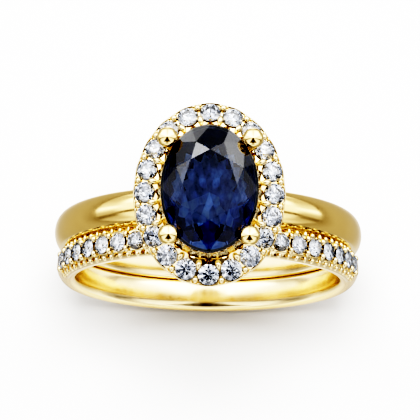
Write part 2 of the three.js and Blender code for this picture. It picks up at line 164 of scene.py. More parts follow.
# Contrast curve of a studio product shot: (level before, level after).
TONE_TOP = 0.99
TONE = (
    (0.09, 0.01), (0.122, 0.05), (0.164, 0.145), (0.222, 0.302), (0.3, 0.49), (0.405, 0.675),
    (0.548, 0.83), (0.74, 0.93),
)


# ---------------------------------------------------------------- mesh helpers


def make_object(name, verts, faces):
    """A smooth-shaded object of a mesh given in millimetres."""
    mesh = bpy.data.meshes.new(name)
    mesh.from_pydata([(x * MM, y * MM, z * MM) for x, y, z in verts], [], faces)
    mesh.validate()
    obj = bpy.data.objects.new(name, mesh)
    bpy.context.scene.collection.objects.link(obj)
    face_outward(mesh)
    set_shading(mesh, True)
    return obj


def face_outward(mesh):
    bm = bmesh.new()
    bm.from_mesh(mesh)
    bmesh.ops.recalc_face_normals(bm, faces=bm.faces)
    bm.to_mesh(mesh)
    bm.free()


def set_shading(mesh, smooth, sharp_angle=None):
    mesh.polygons.foreach_set("use_smooth", [smooth] * len(mesh.polygons))
    if sharp_angle is not None:
        mesh.set_sharp_from_angle(angle=math.radians(sharp_angle))
    mesh.update()


def spline(points, steps, closed):
    """Catmull-Rom points through a list of tuples of any length."""
    count = len(points)
    spans = count if closed else count - 1
    axes = range(len(points[0]))
    found = []
    for span in range(spans):
        near = [points[(span + k) % count] if closed else points[min(max(span + k, 0), count - 1)]
                for k in (-1, 0, 1, 2)]
        for step in range(steps):
            t = step / steps
            weights = (
                -0.5 * t + t * t - 0.5 * t**3,
                1 - 2.5 * t * t + 1.5 * t**3,
                0.5 * t + 2 * t * t - 1.5 * t**3,
                -0.5 * t * t + 0.5 * t**3,
            )
            found.append(tuple(sum(w * p[axis] for w, p in zip(weights, near)) for axis in axes))
    if not closed:
        found.append(tuple(points[-1]))
    return found


def grid_faces(rows, columns, wrap_rows=True):
    faces = []
    for row in range(rows if wrap_rows else rows - 1):
        for column in range(columns):
            next_row = (row + 1) % rows
            next_column = (column + 1) % columns
            faces.append((row * columns + column, next_row * columns + column,
                          next_row * columns + next_column, row * columns + next_column))
    return faces


def hoop(name, outline):
    """Revolves a closed outline of (radius, y) all round the finger axis."""
    verts = []
    for row in range(HOOP_STEPS):
        verts += spun(outline, 2 * math.pi * row / HOOP_STEPS)
    return make_object(name, verts, grid_faces(HOOP_STEPS, len(outline)))


def hoop_sector(name, outline, steps, start, sweep):
    """Revolves a closed outline of (radius, y) from an angle off the top, and caps both ends."""
    verts = []
    for row in range(steps + 1):
        verts += spun(outline, start + sweep * row / steps)
    columns = len(outline)
    faces = grid_faces(steps + 1, columns, wrap_rows=False)
    faces += [tuple(range(columns)), tuple(range(steps * columns, (steps + 1) * columns))]
    return make_object(name, verts, faces)


def spun(outline, angle):
    return [(r * math.sin(angle), y, r * math.cos(angle)) for r, y in outline]


def mirrored(bore, half, crest, centre_y):
    """Closed hoop outline of one half, listed from the bore to the crest, and its mirror image."""
    front = [(r, centre_y - offset) for r, offset in half]
    rear = [(r, centre_y + offset) for r, offset in reversed(half)]
    return [(bore, centre_y), *front, (crest, centre_y), *rear]


def comfort_fit_bore(half_width):
    """Rounded half of the finger hole's surface, as (radius, offset) pairs."""
    rises = ((0.01, 0.36), (0.04, 0.6), (0.11, 0.8), (0.23, 0.93), (0.41, 1.0))
    return [(BORE_RADIUS + rise, share * half_width) for rise, share in rises]


def oval_point(semi, t):
    return Vector((semi[0] * math.cos(t), semi[1] * math.sin(t), 0))


def oval_normal(semi, t):
    return Vector((semi[1] * math.cos(t), semi[0] * math.sin(t), 0)).normalized()


def oval_stations(semi, count):
    """Parameters of points spaced evenly along the oval, starting on +X."""
    fine = 3600
    lengths = [0.0]
    for step in range(fine):
        here = oval_point(semi, 2 * math.pi * step / fine)
        after = oval_point(semi, 2 * math.pi * (step + 1) / fine)
        lengths.append(lengths[-1] + (after - here).length)
    stations = []
    step = 0
    for index in range(count):
        wanted = lengths[-1] * index / count
        while lengths[step + 1] < wanted:
            step += 1
        part = (wanted - lengths[step]) / (lengths[step + 1] - lengths[step])
        stations.append(2 * math.pi * (step + part) / fine)
    return stations


def oval_ring(name, semi, outline, steps, reshape=lambda u, z, phase: (u, z)):
    """Sweeps a closed outline of (outward offset, z) round an oval."""
    verts = []
    for index, t in enumerate(oval_stations(semi, steps)):
        for u, z in outline:
            u, z = reshape(u, z, index / steps)
            point = oval_point(semi, t) + oval_normal(semi, t) * u
            verts.append((point.x, point.y, z))
    return make_object(name, verts, grid_faces(steps, len(outline)))


def circle(radius, centre, sides):
    angles = [2 * math.pi * side / sides for side in range(sides)]
    return [(centre[0] + radius * math.cos(a), centre[1] + radius * math.sin(a)) for a in angles]


def wire(name, points, radius, sides=24):
    """Sweeps a circle along a line of points and closes both ends."""
    line = [Vector(point) for point in points]
    normal = None
    verts = []
    for index, point in enumerate(line):
        before = line[max(index - 1, 0)]
        after = line[min(index + 1, len(line) - 1)]
        tangent = (after - before).normalized()
        if normal is None:
            normal = tangent.orthogonal().normalized()
        normal = (normal - tangent * normal.dot(tangent)).normalized()
        binormal = tangent.cross(normal)
        for side in range(sides):
            angle = 2 * math.pi * side / sides
            spoke = normal * math.cos(angle) + binormal * math.sin(angle)
            verts.append(point + spoke * radius)
    faces = grid_faces(len(line), sides, wrap_rows=False)
    faces += [tuple(range(sides)), tuple(range(len(verts) - sides, len(verts)))]
    return make_object(name, verts, faces)


def ball_parts(matrix, reach, around=20, rings=12):
    """Vertices and faces of a rounded bead placed by a matrix."""
    verts = [matrix @ Vector((0, 0, reach[2]))]
    for ring in range(1, rings):
        polar = math.pi * ring / rings
        for step in range(around):
            angle = 2 * math.pi * step / around
            verts.append(matrix @ Vector((
                reach[0] * math.sin(polar) * math.cos(angle),
                reach[1] * math.sin(polar) * math.sin(angle),
                reach[2] * math.cos(polar),
            )))
    verts.append(matrix @ Vector((0, 0, -reach[2])))
    faces = [(0, 1 + step, 1 + (step + 1) % around) for step in range(around)]
    for ring in range(rings - 2):
        for step in range(around):
            a = 1 + ring * around + step
            b = 1 + ring * around + (step + 1) % around
            faces.append((a, a + around, b + around, b))
    last = len(verts) - 1
    faces += [(last, last - around + (step + 1) % around, last - around + step) for step in range(around)]
    return verts, faces


def lathe_parts(outline, sides, matrix):
    """Vertices and faces of a closed turned solid, from its (radius, z) outline, bottom to top."""
    inner = outline[1:-1]
    verts = [matrix @ Vector((0, 0, outline[0][1]))]
    for radius, z in inner:
        for side in range(sides):
            angle = 2 * math.pi * side / sides
            verts.append(matrix @ Vector((radius * math.cos(angle), radius * math.sin(angle), z)))
    verts.append(matrix @ Vector((0, 0, outline[-1][1])))
    last = len(verts) - 1
    faces = []
    for side in range(sides):
        after = (side + 1) % sides
        faces.append((0, 1 + after, 1 + side))
        faces.append((last, last - sides + side, last - sides + after))
        for row in range(len(inner) - 1):
            a = 1 + row * sides + side
            b = 1 + row * sides + after
            faces.append((a, b, b + sides, a + sides))
    return verts, faces


def merged(name, parts):
    """One object of several (verts, faces) shells."""
    verts = []
    faces = []
    for part_verts, part_faces in parts:
        offset = len(verts)
        verts += [tuple(v) for v in part_verts]
        faces += [tuple(i + offset for i in face) for face in part_faces]
    return make_object(name, verts, faces)


def combine(target, tool, operation):
    """Applies one boolean to target and removes the tool."""
    modifier = target.modifiers.new("combine", "BOOLEAN")
    modifier.operation = operation
    modifier.solver = "MANIFOLD"
    modifier.object = tool
    depsgraph = bpy.context.evaluated_depsgraph_get()
    result = bpy.data.meshes.new_from_object(target.evaluated_get(depsgraph))
    target.modifiers.clear()
    target.data = result
    bpy.data.objects.remove(tool)


def finish_piece(obj, body, node):
    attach(obj, body)
    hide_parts(node)


# ---------------------------------------------------------------- places on the rings


def facing(origin, outward, along):
    """Frame whose +Z faces outward and whose +X runs as near to along as it can."""
    z = outward.normalized()
    y = z.cross(along).normalized()
    x = y.cross(z)
    return Matrix((
        (x.x, y.x, z.x, origin.x),
        (x.y, y.y, z.y, origin.y),
        (x.z, y.z, z.z, origin.z),
        (0, 0, 0, 1),
    ))


def halo_place(t, downhill_offset, lift):
    """Frame on the halo's sloping top, with +X downhill and outwards."""
    up = Vector((0, 0, 1))
    sideways = oval_normal(HALO_SEMI, t)
    outward = up * math.cos(HALO_TILT) + sideways * math.sin(HALO_TILT)
    downhill = sideways * math.cos(HALO_TILT) - up * math.sin(HALO_TILT)
    centre = oval_point(HALO_SEMI, t) + up * HALO_SURFACE
    return facing(centre + downhill * downhill_offset + outward * lift, outward, downhill)


def band_place(angle, offset_y, radius):
    """Frame on the wedding band at an angle from the top, with +X along the finger."""
    outward = Vector((math.sin(angle), 0, math.cos(angle)))
    return facing(outward * radius + Vector((0, BAND_Y + offset_y, 0)), outward, Vector((0, 1, 0)))


def flank_place(angle, flank, offset):
    """Frame on one of the setting's slopes: flank is -1 for the front one and 1 for the rear one."""
    lean = Matrix.Rotation(-flank * FLANK_SLOPE, 4, "X")
    return band_place(angle, flank * offset, FLANK_RADIUS) @ lean


def band_angle(index):
    return BAND_PITCH * (index - (BAND_STONES - 1) / 2)


# ---------------------------------------------------------------- node helpers


def node_material(name):
    material = bpy.data.materials.new(name)
    material.use_nodes = True
    tree = material.node_tree
    return material, tree, tree.nodes["Principled BSDF"]


def connect(tree, value, socket):
    """Links an output to a socket, or sets a constant on it."""
    if isinstance(value, bpy.types.NodeSocket):
        tree.links.new(value, socket)
    else:
        socket.default_value = value


def noise(tree, scale, detail, stretch=(1, 1, 1)):
    """Noise on the piece's own coordinates, in metres."""
    place = tree.nodes.new("ShaderNodeTexCoord")
    mapping = tree.nodes.new("ShaderNodeMapping")
    mapping.inputs["Scale"].default_value = stretch
    texture = tree.nodes.new("ShaderNodeTexNoise")
    texture.inputs["Scale"].default_value = scale
    texture.inputs["Detail"].default_value = detail
    tree.links.new(place.outputs["Object"], mapping.inputs["Vector"])
    tree.links.new(mapping.outputs["Vector"], texture.inputs["Vector"])
    return texture.outputs["Fac"]


def between(tree, source, low, high):
    """Spreads a noise over the range from low to high."""
    spread = tree.nodes.new("ShaderNodeMapRange")
    spread.inputs["From Min"].default_value = 0.3
    spread.inputs["From Max"].default_value = 0.7
    spread.inputs["To Min"].default_value = low
    spread.inputs["To Max"].default_value = high
    tree.links.new(source, spread.inputs["Value"])
    return spread.outputs["Result"]


def ramp(tree, value, stops, interpolation="LINEAR"):
    """Colours by position; their levels may go above one."""
    node = tree.nodes.new("ShaderNodeValToRGB")
    node.color_ramp.interpolation = interpolation
    elements = node.color_ramp.elements
    while len(elements) < len(stops):
        elements.new(0.5)
    for element, (position, colour) in zip(elements, stops):
        element.position = position
        element.color = (*colour, 1)
    tree.links.new(value, node.inputs["Fac"])
    return node.outputs["Color"]


def grey_stops(levels, reach=1.0):
    return [(position / reach, (level, level, level)) for position, level in levels]


def mix_colours(tree, factor, first, second):
    """Colour that goes from first to second as factor goes from 0 to 1."""
    node = tree.nodes.new("ShaderNodeMix")
    node.data_type = "RGBA"
    node_factor = node.inputs[0]
    colour_a = node.inputs[6]
    colour_b = node.inputs[7]
    mixed_colour = node.outputs[2]
    connect(tree, factor, node_factor)
    connect(tree, first, colour_a)
    connect(tree, second, colour_b)
    return mixed_colour


def math_node(tree, operation, first, second=0.0):
    node = tree.nodes.new("ShaderNodeMath")
    node.operation = operation
    connect(tree, first, node.inputs[0])
    connect(tree, second, node.inputs[1])
    return node.outputs[0]


def scaled(tree, value, factor, offset=0.0):
    return math_node(tree, "ADD", math_node(tree, "MULTIPLY", value, factor), offset)


def smooth_step(tree, value, start, end):
    """Smooth 0 to 1 as value goes from start to end."""
    node = tree.nodes.new("ShaderNodeMapRange")
    node.interpolation_type = "SMOOTHSTEP"
    node.inputs["From Min"].default_value = start
    node.inputs["From Max"].default_value = end
    tree.links.new(value, node.inputs["Value"])
    return node.outputs["Result"]


def split_axes(tree, coordinates):
    """X, Y and Z of one of the texture coordinates."""
    place = tree.nodes.new("ShaderNodeTexCoord")
    split = tree.nodes.new("ShaderNodeSeparateXYZ")
    tree.links.new(place.outputs[coordinates], split.inputs["Vector"])
    return [split.outputs[axis] for axis in "XYZ"]


# ---------------------------------------------------------------- materials


def polished_gold(name, tint, smoothest, roughest):
    """14 carat yellow gold with faint buffing lines and slight alloy clouding."""
    material, tree, shader = node_material(name)
    shader.inputs["Metallic"].default_value = 1.0
    clouded = tuple(0.97 * level for level in tint)
    clouds = noise(tree, 900.0, 2.0)
    tree.links.new(ramp(tree, clouds, ((0.35, clouded), (0.65, tint))), shader.inputs["Base Color"])
    buffing = noise(tree, 2600.0, 4.0, (1.0, 0.15, 1.0))
    tree.links.new(between(tree, buffing, smoothest, roughest), shader.inputs["Roughness"])
    bump = tree.nodes.new("ShaderNodeBump")
    bump.inputs["Strength"].default_value = 0.02
    bump.inputs["Distance"].default_value = 0.00001
    tree.links.new(buffing, bump.inputs["Height"])
    tree.links.new(bump.outputs["Normal"], shader.inputs["Normal"])
    return material


def gem(name, colour, ior, roughness, metallic=0.0):
    """Clear stone with a polish that varies up to the given roughness."""
    material, tree, shader = node_material(name)
    shader.inputs["Transmission Weight"].default_value = 1.0
    shader.inputs["IOR"].default_value = ior
    shader.inputs["Base Color"].default_value = (*colour, 1)
    shader.inputs["Metallic"].default_value = metallic
    polish = noise(tree, 1500.0, 2.0)
    tree.links.new(between(tree, polish, 0.0, roughness), shader.inputs["Roughness"])
    return material, tree


def diamond_material():
    return gem("brilliant_diamond", (0.90, 0.93, 0.98), 2.42, 0.004)[0]


def diamond_painted_shade_material():
    """Every other lower half facet of a brilliant: a dark, mostly metallic finish, painted shade that darkens
    these facets.
    """
    return gem("brilliant_diamond_painted_shade", (0.30, 0.32, 0.37), 2.42, 0.02, metallic=0.75)[0]


def sapphire_material(name, painted_sheen=0.0):
    """Royal blue corundum: the body colour comes from absorption along each ray's path."""
    # A nonzero painted sheen makes part of the surface a white mirror: a painted reflection on the facets
    # that carry it.
    material, tree = gem(name, (1.0, 1.0, 1.0), 1.77, 0.004, metallic=painted_sheen)
    depth = tree.nodes.new("ShaderNodeVolumeAbsorption")
    depth.inputs["Color"].default_value = (0.14, 0.28, 0.56, 1)
    depth.inputs["Density"].default_value = 265.0
    tree.links.new(depth.outputs["Volume"], tree.nodes["Material Output"].inputs["Volume"])
    return material


def painted_facet_material(name, dark, light, metallic, roughness):
    """Pavilion facets whose tint lies between two tints, mottled by a noise, and is painted light or painted
    shade.
    """
    material, tree, shader = node_material(name)
    shader.inputs["Metallic"].default_value = metallic
    painted_tone_noise = noise(tree, 1700.0, 4.0, (1.0, 0.6, 1.0))
    tree.links.new(ramp(tree, painted_tone_noise, ((0.38, dark), (0.62, light))), shader.inputs["Base Color"])
    polish = between(tree, painted_tone_noise, 0.8 * roughness, 1.2 * roughness)
    tree.links.new(polish, shader.inputs["Roughness"])
    return material


def diamond_materials():
    """The two finishes of a small brilliant, clear and painted shade, in the order that the marking of its
    facets uses.
    """
    return diamond_material(), diamond_painted_shade_material()


# The sapphire's finishes, in the order of sapphire_materials: clear stone, painted window light, painted
# shade, painted bright facets and a painted sheen.
CLEAR, PAINTED_WINDOW_LIGHT, PAINTED_SHADE, PAINTED_BRIGHT, PAINTED_SHEEN = range(5)


def sapphire_materials():
    return (
        sapphire_material("blue_sapphire"),
        # Painted window light: lighter steel-blue facets round the culet stand in for light coming through
        # the stone.
        painted_facet_material("blue_sapphire_painted_window_light", (0.16, 0.23, 0.38), (0.40, 0.55, 0.76), 0.4, 0.14),
        # Painted shade: dark, mirror-like facets above the culet darken the stone where it looks dark.
        painted_facet_material("blue_sapphire_painted_shade", (0.05, 0.06, 0.13), (0.13, 0.16, 0.30), 0.8, 0.08),
        # Painted bright facets: pale blue ones that stand in for light.
        painted_facet_material("blue_sapphire_painted_bright", (0.42, 0.58, 0.80), (0.72, 0.88, 1.0), 0.5, 0.1),
        # Painted sheen: extra white mirror reflection on a few rear crown facets, partly a real reflection of
        # the studio.
        sapphire_material("blue_sapphire_painted_sheen", 0.12),
    )


def paint(obj, material):
    obj.data.materials.clear()
    obj.data.materials.append(material)


def paint_faces(obj, material, chosen):
    """Gives another finish to the faces whose centre, in millimetres, passes the test."""
    slot = len(obj.data.materials)
    obj.data.materials.append(material)
    for face in obj.data.polygons:
        if chosen(face.center / MM):
            face.material_index = slot


# ---------------------------------------------------------------- stones


def cut_stone(name, sides, cuts):
    """Cuts a round cylinder of unit radius by each (point, outward normal) plane in turn."""
    mesh = bpy.data.meshes.new(name)
    bm = bmesh.new()
    bmesh.ops.create_cone(bm, cap_ends=True, segments=sides, radius1=1, radius2=1, depth=6)
    for point, normal in cuts:
        bmesh.ops.bisect_plane(
            bm,
            geom=bm.verts[:] + bm.edges[:] + bm.faces[:],
            dist=1e-6,
            plane_co=point,
            plane_no=normal,
            clear_outer=True,
        )
        rim = [edge for edge in bm.edges if edge.is_boundary]
        bmesh.ops.holes_fill(bm, edges=rim, sides=0)
    bmesh.ops.recalc_face_normals(bm, faces=bm.faces)
    bm.to_mesh(mesh)
    bm.free()
    return mesh


def facet(angle, inner, outer):
    """Plane at an angle round the stone through (radius, height) points on its inner and outer ends."""
    direction = Vector((math.cos(angle), math.sin(angle), 0))
    slope = Vector((outer[0] - inner[0], outer[1] - inner[1]))
    side = 1 if inner[1] > outer[1] else -1
    normal = Vector((direction.x * abs(slope.y), direction.y * abs(slope.y), side * abs(slope.x)))
    return direction * outer[0] + Vector((0, 0, outer[1])), normal.normalized()


def half_facet(main, turn, reach, reach_z, edge_z, upward):
    """Plane through the girdle at main and at main + turn, and through the tip at main + turn."""
    edge = Vector((math.cos(main), math.sin(main), edge_z))
    far = Vector((math.cos(main + turn), math.sin(main + turn), edge_z))
    tip = Vector((reach * math.cos(main + turn), reach * math.sin(main + turn), reach_z))
    normal = (edge - tip).cross(far - tip).normalized()
    return edge, normal if normal.z * upward > 0 else -normal


def brilliant_cuts(table, crown, star, girdle, pavilion, lower):
    """Planes of a brilliant of unit radius: table, kites, stars and upper halves.

    Unless lower is None, the pavilion's mains and lower halves follow.
    """
    eighth = math.pi / 4
    spoke = eighth / 2
    star_z = girdle + crown * (1 - star * math.cos(spoke)) / (1 - table)
    culet = -girdle - pavilion
    cuts = [(Vector((0, 0, girdle + crown)), Vector((0, 0, 1)))]
    for index in range(8):
        main = index * eighth
        cuts.append(facet(main, (table, girdle + crown), (1, girdle)))
        cuts.append(facet(main + spoke, (table * math.cos(spoke), girdle + crown), (star, star_z)))
        cuts += [half_facet(main, side * spoke, star, star_z, girdle, 1) for side in (-1, 1)]
        if lower is not None:
            cuts.append(facet(main, (0, culet), (1, -girdle)))
            lower_z = culet + pavilion * lower * math.cos(spoke)
            cuts += [half_facet(main, side * spoke, lower, lower_z, -girdle, -1) for side in (-1, 1)]
    return cuts


def melee_mesh():
    cuts = brilliant_cuts(table=0.56, crown=0.31, star=0.78, girdle=0.02, pavilion=0.86, lower=0.22)
    mesh = cut_stone("melee_cut", 48, cuts)
    paint_shade_on_brilliant(mesh)
    return mesh


def paint_shade_on_brilliant(mesh):
    """Marks alternate lower halves, on the unit cut, for the second material, the painted shade."""
    pavilion_top = -0.05
    for face in mesh.polygons:
        centre = face.center
        if centre.z < pavilion_top:
            turn = math.degrees(math.atan2(centre.y, centre.x)) % 45
            face.material_index = 1 if 22.5 < turn < 45 else 0


def sapphire_mesh():
    """Mixed cut: brilliant crown over a full pavilion of four tiers."""
    cuts = brilliant_cuts(
        table=0.55,
        crown=SAPPHIRE_CROWN,
        star=0.74,
        girdle=SAPPHIRE_GIRDLE_HALF,
        pavilion=SAPPHIRE_PAVILION,
        lower=None,
    )
    for count, offset, inner, outer in SAPPHIRE_TIERS:
        cuts += [facet(2 * math.pi * (index + offset) / count, inner, outer) for index in range(count)]
    mesh = cut_stone("sapphire_cut", 96, cuts)
    for face in mesh.polygons:
        turn = math.degrees(math.atan2(face.center.x, -face.center.y))
        face.material_index = sapphire_finish(turn, face.center.z)
    return mesh


def sapphire_finish(turn, height):
    """Finish of a facet of the unit cut, by its turn from the front in degrees and its height.

    Painted window light lies on the facets round the culet and painted shade on the ones above them,
    with some painted bright or clear facets between, and a few of the crown's facets at the rear have a
    painted sheen.
    """
    crown_foot = 0.15
    pavilion_top = -0.2
    upper_tier_foot = -0.8
    culet_zone = -1.7
    if height > crown_foot and (118 < turn < 152 or -168 < turn < -140):
        return PAINTED_SHEEN
    if height < culet_zone:
        odd_sector = int((turn + 360) // 22.5) % 2
        return PAINTED_BRIGHT if abs(turn) < 60 and odd_sector else PAINTED_WINDOW_LIGHT
    if height < pavilion_top:
        if abs(turn) < 12:
            return PAINTED_BRIGHT
        return CLEAR if 48 < abs(turn) < 70 and height > upper_tier_foot else PAINTED_SHADE
    return CLEAR


def place_stone(name, mesh, radii, place, node, body, materials):
    obj = bpy.data.objects.new(name, mesh.copy())
    bpy.context.scene.collection.objects.link(obj)
    obj.data.transform(Matrix.Scale(MM, 4) @ place @ Matrix.Diagonal((*radii, 1)))
    set_shading(obj.data, False)
    for surface in materials:
        obj.data.materials.append(surface)
    finish_piece(obj, body, node)


def halo_diamonds(mesh, materials):
    radii = (HALO_STONE_RADIUS,) * 3
    for index, t in enumerate(oval_stations(HALO_SEMI, HALO_STONES)):
        number = f"{index + 1:02d}"
        place = halo_place(t, 0, HALO_GIRDLE_LIFT)
        place_stone("diamond_halo_" + number, mesh, radii, place,
                    "halo_diamond_" + number, RING_BODY, materials)


def band_diamonds(mesh, materials):
    radii = (BAND_STONE_RADIUS,) * 3
    for index in range(BAND_STONES):
        number = f"{index + 1:02d}"
        place = band_place(band_angle(index), 0, BAND_GIRDLE)
        place_stone("diamond_band_" + number, mesh, radii, place,
                    "band_diamond_" + number, BAND_BODY, materials)


def centre_sapphire(materials):
    place = Matrix.Translation((0, 0, SAPPHIRE_GIRDLE))
    place_stone("sapphire_oval", sapphire_mesh(), (*SAPPHIRE_SEMI, 1), place,
                "centre_sapphire", RING_BODY, materials)


# ---------------------------------------------------------------- gold pieces


def seat_outline(radius, depth):
    """Seat that leaves a thin gap round a stone and an open well below it."""
    wide = radius + 0.02
    return [
        (0, -depth),
        (radius * 0.34, -depth),
        (radius * 0.42, -radius * 0.66),
        (wide, -0.03),
        (wide, 0.04),
        (wide, 0.9),
        (0, 0.9),
    ]


def in_finger_hole(centre):
    return math.hypot(centre.x, centre.z) < BORE_RADIUS + 0.17


def engagement_shank(gold, painted_light_gold):
    drops = ((0.9, 1.0), (0.73, 0.995), (0.53, 0.94), (0.35, 0.83), (0.18, 0.64), (0.07, 0.42), (0.015, 0.2))
    dome = [(SHANK_CREST - drop, share * SHANK_HALF_WIDTH) for drop, share in drops]
    half = comfort_fit_bore(SHANK_HALF_WIDTH) + dome
    outline = spline(mirrored(BORE_RADIUS, half, SHANK_CREST, 0), 5, closed=True)
    obj = hoop("engagement_shank_polished", outline)
    paint(obj, gold)
    # Faces in the finger hole and facing the wedding band get the paler gold, painted light in that shade.
    paint_faces(obj, painted_light_gold, lambda centre: in_finger_hole(centre) or centre.y < -1.0)
    finish_piece(obj, RING_BODY, "engagement_shank")


def halo_frame(gold):
    inner_wall = [(-0.92, 12.36), (-0.94, 12.2), (-0.8, 11.8), (-0.6, 11.35), (-0.4, 11.12)]
    underside = [(0.0, 11.05), (0.5, 11.03)]
    outer_rail = [(0.66, 11.35), (0.72, 11.65), (0.725, 11.83), (0.68, 11.90), (0.62, 11.86), (0.57, 11.83)]
    top = [(0.3, 11.95), (0.0, 12.07), (-0.3, 12.18), (-0.6, 12.29), (-0.86, 12.38)]
    outline = spline(inner_wall + underside + outer_rail + top, 3, closed=True)

    def scallop(u, z, phase):
        swell = 0.5 + 0.5 * math.cos(2 * math.pi * HALO_STONES * phase)
        return (u - 0.035 * (1 - swell) if u > 0.5 else u, z)

    obj = oval_ring("halo_gold", HALO_SEMI, outline, OVAL_STEPS, scallop)
    combine(obj, merged("halo_seats", halo_seats()), "DIFFERENCE")
    combine(obj, merged("halo_notches", halo_notches()), "DIFFERENCE")
    combine(obj, merged("halo_beads", halo_beads()), "UNION")
    set_shading(obj.data, True, CRISP_EDGE)
    paint(obj, gold)
    finish_piece(obj, RING_BODY, "halo_frame")


def halo_seats():
    outline = seat_outline(HALO_STONE_RADIUS, 1.4)
    stations = oval_stations(HALO_SEMI, 2 * HALO_STONES)[::2]
    return [lathe_parts(outline, SEAT_SIDES, halo_place(t, 0, HALO_GIRDLE_LIFT)) for t in stations]


def halo_notches():
    """A round notch in the halo's inner edge beside each stone."""
    outline = [(0, -0.5), (0.2, -0.5), (0.27, 0.3), (0, 0.3)]
    stations = oval_stations(HALO_SEMI, 2 * HALO_STONES)[::2]
    return [lathe_parts(outline, 20, halo_place(t, -0.93, 0)) for t in stations]


def halo_beads():
    """Between two stones: an outer bead, two fine ones on the rail and, away from the claws, an inner one."""
    beads = []
    stations = oval_stations(HALO_SEMI, 2 * HALO_STONES)
    for index in range(1, len(stations), 2):
        t = stations[index]
        beads.append(ball_parts(halo_place(t, 0.42, 0.05), HALO_OUTER_BEAD))
        for turn in (-0.045, 0.045):
            beads.append(ball_parts(halo_place(t + turn, 0.655, -0.02), HALO_FINE_BEAD, 12, 8))
        beside_claw = index % 10 == 5
        if not beside_claw:
            beads.append(ball_parts(halo_place(t, -0.5, 0.04), HALO_INNER_BEAD))
    return beads


def claws(gold):
    for place, tip_x, tip_y in QUARTERS:
        path = [
            (0.55 * tip_x, 0.57 * tip_y, 10.05),
            (0.67 * tip_x, 0.68 * tip_y, 11.1),
            (0.87 * tip_x, 0.87 * tip_y, 12.3),
            (0.97 * tip_x, 0.97 * tip_y, 13.1),
            (tip_x, tip_y, CLAW_TIP_Z),
        ]
        obj = wire("claw_" + place + "_gold", spline(path, 8, closed=False), CLAW_WIRE)
        tip_place = Matrix.Translation((tip_x, tip_y, CLAW_TIP_Z))
        tip = ball_parts(tip_place, (CLAW_TIP_RADIUS, CLAW_TIP_RADIUS, CLAW_TIP_HALF_HEIGHT), 48, 28)
        combine(obj, merged("tip", [tip]), "UNION")
        set_shading(obj.data, True, SOFT_EDGE)
        paint(obj, gold)
        finish_piece(obj, RING_BODY, "claw_" + place)


def gallery_rail(gold):
    rail = oval_ring("gallery_rail_gold", GALLERY_SEMI, circle(GALLERY_WIRE, (0, GALLERY_Z), 24), 144)
    paint(rail, gold)
    finish_piece(rail, RING_BODY, "gallery_rail")


def bearing_collar(gold):
    """Collar with a fluted outside, like a row of fine upright wires."""
    underside = [(-0.6, 12.37), (-0.2, 12.3), (0.2, 12.28)]
    outside = [(0.26, 12.36), (0.23, 12.5), (0.11, 12.82), (0.0, 13.1)]
    lip = [(-0.03, 13.2), (-0.1, 13.25), (-0.24, 13.2), (-0.36, 13.08), (-0.45, 12.8)]
    outline = spline(underside + outside + lip, 3, closed=True)
    flute_depth = 0.06
    flute_top = 13.05

    def flute(u, z, phase):
        dip = 0.5 - 0.5 * math.cos(2 * math.pi * COLLAR_FLUTES * phase)
        return (u - flute_depth * dip if u > 0 and z < flute_top else u, z)

    collar = oval_ring("bearing_collar_gold", SAPPHIRE_SEMI, outline, 10 * COLLAR_FLUTES, flute)
    paint(collar, gold)
    finish_piece(collar, RING_BODY, "bearing_collar")


def halo_struts(gold):
    for place, x, y in SIDES:
        start = GALLERY_SEMI[0] if x else GALLERY_SEMI[1]
        end = HALO_SEMI[0] if x else HALO_SEMI[1]
        reach_and_height = [
            (start + 0.16, 10.6),
            (start + 0.45 * (end - start), 10.72),
            (start + 0.8 * (end - start), 10.95),
            (end - 0.1, 11.32),
        ]
        path = [(x * reach, y * reach, z) for reach, z in reach_and_height]
        strut = wire("halo_strut_" + place + "_gold", spline(path, 8, closed=False), STRUT_WIRE)
        set_shading(strut.data, True, SOFT_EDGE)
        paint(strut, gold)
        finish_piece(strut, RING_BODY, "halo_strut_" + place)


def wedding_band(gold, setting_gold, painted_light_gold):
    obj = band_base()
    combine(obj, band_wall(), "UNION")
    combine(obj, band_dome(), "UNION")
    combine(obj, merged("band_cuts", band_cuts()), "DIFFERENCE")
    combine(obj, merged("band_beads", band_beads()), "UNION")
    set_shading(obj.data, True, CRISP_EDGE)
    paint(obj, gold)

    def in_setting(centre):
        turn = math.atan2(centre.x, centre.z)
        return abs(turn) < BAND_REACH + 0.03 and math.hypot(centre.x, centre.z) > BAND_CORE

    paint_faces(obj, setting_gold, in_setting)
    # Faces in the finger hole and facing the engagement shank get the paler gold, painted light in that
    # shade.
    paint_faces(obj, painted_light_gold, lambda centre: in_finger_hole(centre) or centre.y > BAND_Y + 0.9)
    finish_piece(obj, BAND_BODY, "wedding_band")


def band_base():
    """Low comfort-fit hoop that runs all the way round."""
    drops = ((0.2, 1.0), (0.08, 1.0), (0.01, 0.93), (0.0, 0.5))
    rim = [(BAND_LEDGE - drop, share * BAND_HALF_WIDTH) for drop, share in drops]
    half = comfort_fit_bore(BAND_HALF_WIDTH) + rim
    return hoop("wedding_band_gold", spline(mirrored(BORE_RADIUS, half, BAND_LEDGE, BAND_Y), 5, closed=True))


def band_wall():
    """Raised wall under the stones."""
    half = [
        (BAND_CORE, 0.5),
        (BAND_CORE, 0.95),
        (9.0, 0.995),
        (9.16, 0.97),
        (9.32, 0.89),
        (9.44, 0.76),
        (9.505, 0.6),
        (9.515, 0.3),
    ]
    outline = spline(mirrored(BAND_CORE, half, BAND_SETTING, BAND_Y), 4, closed=True)
    return hoop_sector("wall", outline, SETTING_STEPS, -BAND_REACH - 0.03, 2 * BAND_REACH + 0.06)


